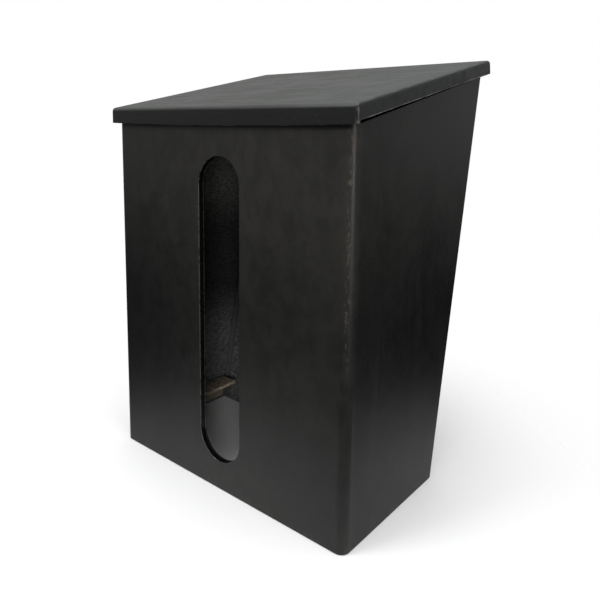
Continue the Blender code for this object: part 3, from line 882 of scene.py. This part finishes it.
# ----------------------------------------------------------------------- hinge
def leaf(away, towards, first, holes):
    """Hinge leaf rolled round the pin, cut back where the other leaf's knuckles turn."""
    inner = KNUCKLE_RADIUS - LEAF_SHEET
    meet = math.degrees(math.asin(inner / KNUCKLE_RADIUS))
    pairs = [(LEAF_LENGTH, KNUCKLE_RADIUS)]
    pairs += arc((0, 0), KNUCKLE_RADIUS, 90, 360 + meet, ROUND_STEPS)
    pairs += [(LEAF_LENGTH, inner)]
    blank = side_prism(leaf_points(away, towards, pairs), -HINGE_HALF_WIDTH, HINGE_HALF_WIDTH)
    pitch = 2 * HINGE_HALF_WIDTH / KNUCKLES
    reach = 2 * KNUCKLE_RADIUS
    box = leaf_points(away, towards, [(-reach, -reach), (LEAF_START, -reach), (LEAF_START, reach),
                                      (-reach, reach)])
    cutters = []
    for number in range(first, KNUCKLES, 2):
        low = -HINGE_HALF_WIDTH + number * pitch - GAP / 2
        high = low + pitch + GAP
        if number == 0:
            low -= pitch
        if number == KNUCKLES - 1:
            high += pitch
        cutters.append(side_prism(box, low, high))
    past = HINGE_HALF_WIDTH + KNUCKLE_RADIUS
    bore = rod(solid(PIN, -past), solid(PIN, past), BORE_RADIUS)
    near, far = BORE_RADIUS * 0.6, KNUCKLE_RADIUS * 1.2
    low, high = inner - SEAM_LOW, inner - SEAM_HIGH
    slit = leaf_points(away, towards, [(near, low), (far, low), (far, high), (near, high)])
    seam = side_prism(slit, -past, past)
    return soften(subtract(blank, cutters + [bore, seam] + holes), SOFT_LEAF)


def lid_hole(x):
    """Cutter for a rivet hole square through the moving leaf."""
    middle = PIN + FORE_LID * LID_RIVET_REACH
    low, high = middle - UP_LID * WALL, middle + UP_LID * 2 * WALL
    return rod(solid(low, x), solid(high, x), RIVET_SHANK + GAP)


def make_hinge(steel):
    """Two leaves whose knuckles alternate, and the rod through them."""
    holes = [back_hole(x, RIVET_ALONG, RIVET_SHANK + GAP) for x in RIVET_X]
    new_object("hinge_leaf_fixed", leaf(-UP_BACK, -OUT_BACK, 1, holes), [steel], "box",
               ["hinge_body_leaf"])
    holes = [lid_hole(x) for x in RIVET_X]
    new_object("hinge_leaf_moving", leaf(FORE_LID, UP_LID, 0, holes), [steel], "lid",
               ["hinge_lid_leaf"])
    long, end = 2 * HINGE_HALF_WIDTH, PIN_CHAMFER
    profile = [(0, PIN_RADIUS - end), (end, PIN_RADIUS), (long - end, PIN_RADIUS),
               (long, PIN_RADIUS - end)]
    pin = turned(solid(PIN, -HINGE_HALF_WIDTH), (1, 0, 0), profile)
    new_object("hinge_rod", pin, [steel], "box", ["hinge_pin"])


# ------------------------------------------------------------------------- lid
def lid_warp(point):
    """Drop of the front lip, which hangs a little lower in the middle than at its ends."""
    lip = min(1.0, max(0.0, (LID_FRONT_HEIGHT - point.z) / LID_FRONT_FLANGE))
    if point.y >= LID_FACE_Y + LID_SHEET + LID_BOW_DEPTH:
        return 0.0
    middle = 1.0 - (point.x / LID_HALF) ** 2
    return -LID_BOW * middle * lip


def make_lid(outside, inside, edge):
    """Sloping sheet with its flanges turned down at the front and both sides."""
    flange_back = LID_FACE_Y + LID_SHEET
    side_line = under_lid(LID_SIDE_FLANGE)
    low = LID_FRONT_HEIGHT - LID_FRONT_FLANGE
    outline = [(LID_FACE_Y, low), LID_FRONT, LID_REAR_TOP, LID_REAR_LOW,
               crossing(side_line, UP_LID, Vector((flange_back, 0)), Vector((1, 0))),
               (flange_back, low)]
    shape = side_prism(outline, -LID_HALF, LID_HALF)
    bends = [item for item in shape.edges if is_lid_bend(item)]
    bmesh.ops.bevel(shape, geom=bends, offset=LID_EDGE_RADIUS, segments=LID_BEND_STEPS,
                    profile=0.5, affect="EDGES", clamp_overlap=True)
    inside_front = crossing(under_lid(LID_SHEET), UP_LID, Vector((flange_back, 0)), Vector((1, 0)))
    inside_rear = LID_REAR_TOP - UP_LID * LID_SHEET - FORE_LID * 2 * WALL
    drop = Vector((0, -2 * LID_SIDE_FLANGE))
    hollow = side_prism([inside_front + drop, inside_front, inside_rear, inside_rear + 2 * drop],
                        -LID_HALF + LID_SHEET, LID_HALF - LID_SHEET)
    shape = subtract(shape, [hollow])
    soften(shape, SOFT_LID, 2, 60)
    steps = round(2 * LID_HALF / LID_GRID)
    for step in range(1, steps):
        x = -LID_HALF + 2 * LID_HALF * step / steps
        everything = shape.verts[:] + shape.edges[:] + shape.faces[:]
        bmesh.ops.bisect_plane(shape, geom=everything, dist=1e-6, plane_co=(x, 0, 0),
                               plane_no=(1, 0, 0))
    for vert in shape.verts:
        vert.co.z += lid_warp(vert.co)
    cover = new_object("lid_cover", shape, [outside, inside, edge], "lid", ["lid"],
                       35)
    by_faces(cover, lid_side)


def lid_side(centre, normal):
    """0 on the lid's outer faces, 1 underneath and 2 on a cut edge."""
    below_top = (LID_FRONT - Vector((centre.y, centre.z))).dot(UP_LID)
    at_rear = normal.dot(-solid(FORE_LID)) > 0.7
    inside = (abs(centre.x) < LID_HALF - LID_SHEET + LID_MARGIN
              and centre.y > LID_FACE_Y + LID_SHEET - LID_MARGIN)
    if inside and below_top > LID_SHEET - LID_MARGIN:
        return 2 if at_rear and below_top < LID_SHEET + LID_MARGIN else 1
    return 2 if at_rear or normal.z < -0.3 else 0


def is_lid_bend(item):
    """The top front edge, the two top side edges and the two upright front corners."""
    ends = [Vector((vert.co.y, vert.co.z)) for vert in item.verts]
    across = abs(item.verts[0].co.x - item.verts[1].co.x) > GAP
    at_front = [abs(end.x - LID_FACE_Y) < GAP / 3 for end in ends]
    on_top = [abs((end - LID_FRONT).dot(UP_LID)) < GAP / 3 for end in ends]
    if across:
        return all(at_front) and all(on_top)
    return all(on_top) or all(at_front)


# ---------------------------------------------------------------------- rivets
def dome(base, height, radius, hole=0.0):
    """Profile of a domed head rising from base, with the dimple of a pulled mandrel."""
    points = []
    for step in range(7):
        angle = math.pi / 2 * step / 6
        across = hole + (radius - hole) * math.cos(angle)
        points.append((base + height * math.sin(angle), across))
    if hole:
        points.append((base + height * 0.45, hole * 0.9))
    return points


def make_rivets(metal):
    """Rivets through the fixed leaf and the back, and studs from the moving leaf to the lid."""
    leaf_face = 2 * GAP + LEAF_SHEET
    washer_face = -(WALL + GAP)
    tail_face = washer_face - WASHER_SHEET - GAP
    stud_start = PIN + FORE_LID * LID_RIVET_REACH
    stud_face = KNUCKLE_RADIUS - LEAF_SHEET - GAP
    for number, x in enumerate(RIVET_X, start=1):
        centre = solid(on_back(RIVET_ALONG), x)
        head = dome(leaf_face, RIVET_HEAD_HEIGHT, RIVET_HEAD, RIVET_DIMPLE)
        tail = dome(tail_face, -RIVET_HEAD_HEIGHT, RIVET_HEAD * 0.85)
        profile = [*reversed(head), (leaf_face, RIVET_SHANK), (tail_face, RIVET_SHANK), *tail[:-1]]
        new_object(f"rivet_{number}", turned(centre, solid(OUT_BACK), profile), [metal], "box",
                   [f"body_rivet_{number}"])
        inner, lip, back_face = RIVET_SHANK + GAP, WASHER_CHAMFER, washer_face - WASHER_SHEET
        ring = [(washer_face, inner), (washer_face, WASHER_RADIUS - lip),
                (washer_face - lip, WASHER_RADIUS), (back_face + lip, WASHER_RADIUS),
                (back_face, WASHER_RADIUS - lip), (back_face, inner)]
        washer = turned(centre, solid(OUT_BACK), ring, hollow=True)
        new_object(f"washer_{number}", washer, [metal], "box", [f"rivet_washer_{number}"])
        head = dome(stud_face, -RIVET_HEAD_HEIGHT, RIVET_HEAD, RIVET_DIMPLE)
        profile = [*reversed(head), (stud_face, RIVET_SHANK), (KNUCKLE_RADIUS + GAP, RIVET_SHANK)]
        stud = turned(solid(stud_start, x), solid(UP_LID), profile)
        new_object(f"lid_stud_{number}", stud, [metal], "lid", [f"lid_rivet_{number}"])


# ---------------------------------------------------------- floor, light, camera
def make_floor():
    """Pale ground that fades out with distance and is see-through from below."""
    s = Surface("pale_floor", (0.92, 0.92, 0.92), 0.6)
    s.tint((s.ramp(s.noise((2, 2, 2), 3), 0.3, 0.7, 0.0, 0.3), (0.84, 0.84, 0.84)))
    s.bumps((s.noise((300, 300, 300), 2), 0.00003))
    reach = s.nodes.new("ShaderNodeVectorMath")
    reach.operation = "LENGTH"
    s.links.new(s.place, reach.inputs[0])
    far = s.ramp(reach.outputs["Value"], *FLOOR_FADE)
    from_below = s.nodes.new("ShaderNodeNewGeometry").outputs["Backfacing"]
    fade = s.nodes.new("ShaderNodeMixShader")
    s.links.new(s.math("MAXIMUM", far, from_below), fade.inputs["Fac"])
    s.links.new(s.shader.outputs[0], fade.inputs[1])
    s.links.new(s.nodes.new("ShaderNodeBsdfTransparent").outputs[0], fade.inputs[2])
    s.links.new(fade.outputs[0], s.nodes["Material Output"].inputs["Surface"])
    shape = bmesh.new()
    bmesh.ops.create_circle(shape, cap_ends=True, segments=128, radius=FLOOR_RADIUS)
    mesh = bpy.data.meshes.new("floor")
    shape.to_mesh(mesh)
    shape.free()
    mesh.materials.append(s.material)
    floor = bpy.data.objects.new("floor", mesh)
    floor.location.z = cad_box[0].z - FLOOR_DROP
    bpy.context.scene.collection.objects.link(floor)


def make_softbox(name, place, size, watts, shines):
    """Soft light that stays out of sight; shines is whether it shows in reflections."""
    light = bpy.data.lights.new(name, "AREA")
    light.shape = "RECTANGLE"
    light.size, light.size_y = size
    light.energy = watts
    obj = bpy.data.objects.new(name, light)
    obj.location = place
    obj.rotation_euler = (LIGHT_TARGET - Vector(place)).to_track_quat("-Z", "Y").to_euler()
    obj.visible_camera = False
    obj.visible_glossy = shines
    bpy.context.scene.collection.objects.link(obj)


def make_world():
    """White to the eye, and a soft grey room as a source of light and reflections."""
    world = bpy.data.worlds.new("studio")
    bpy.context.scene.world = world
    world.use_nodes = True
    nodes, links = world.node_tree.nodes, world.node_tree.links
    nodes.clear()
    place = nodes.new("ShaderNodeTexCoord")
    split = nodes.new("ShaderNodeSeparateXYZ")
    ramp = nodes.new("ShaderNodeValToRGB")
    links.new(place.outputs["Generated"], split.inputs[0])
    height = nodes.new("ShaderNodeMapRange")
    height.inputs["From Min"].default_value = -1.0
    links.new(split.outputs["Z"], height.inputs["Value"])
    links.new(height.outputs["Result"], ramp.inputs["Fac"])
    stops = ramp.color_ramp.elements
    while len(stops) < len(ROOM_GREYS):
        stops.new(0.5)
    for stop, (position, grey) in zip(stops, ROOM_GREYS):
        stop.position = position
        stop.color = (grey, grey, grey * 1.02, 1)
    room = nodes.new("ShaderNodeBackground")
    seen = nodes.new("ShaderNodeBackground")
    seen.inputs["Color"].default_value = (1, 1, 1, 1)
    links.new(ramp.outputs["Color"], room.inputs["Color"])
    path = nodes.new("ShaderNodeLightPath")
    choice = nodes.new("ShaderNodeMixShader")
    links.new(path.outputs["Is Camera Ray"], choice.inputs["Fac"])
    links.new(room.outputs[0], choice.inputs[1])
    links.new(seen.outputs[0], choice.inputs[2])
    links.new(choice.outputs[0], nodes.new("ShaderNodeOutputWorld").inputs["Surface"])


def make_camera():
    """Where the photograph was taken from."""
    camera = bpy.data.cameras.new("camera")
    camera.sensor_width = CAMERA_SENSOR
    camera.lens = CAMERA_LENS
    camera.shift_y = CAMERA_SHIFT_Y
    camera.clip_start = 0.01
    obj = bpy.data.objects.new("camera", camera)
    obj.location = CAMERA_PLACE
    obj.rotation_euler = [math.radians(angle) for angle in CAMERA_DEGREES]
    bpy.context.scene.collection.objects.link(obj)
    bpy.context.scene.camera = obj


def build():
    """The pieces with their materials, then the floor, room, lights and camera."""
    outside, edge = body_outside(), cut_edge()
    inside = grained("body_inside", (0.0185, 0.0185, 0.0182), (230, 230, 620),
                     painted_light_layers=chamber_painted_light)
    lid_under = grained("lid_inside", (0.0105, 0.0105, 0.0104), (150, 240, 240), 0.00012)
    make_wall(outside, inside, edge)
    make_back(outside, inside, edge)
    make_beads(melted_bead())
    make_ledges(pale_tan_ledge(), edge)
    make_strips(sawn_bar())
    make_hinge(brushed_steel())
    make_lid(lid_outside(), lid_under, rim_wear_and_highlight())
    make_rivets(dull_aluminium())
    make_floor()
    make_world()
    for light in LIGHTS:
        make_softbox(*light)
    make_camera()
    bpy.context.scene.view_settings.view_transform = "Standard"


build()
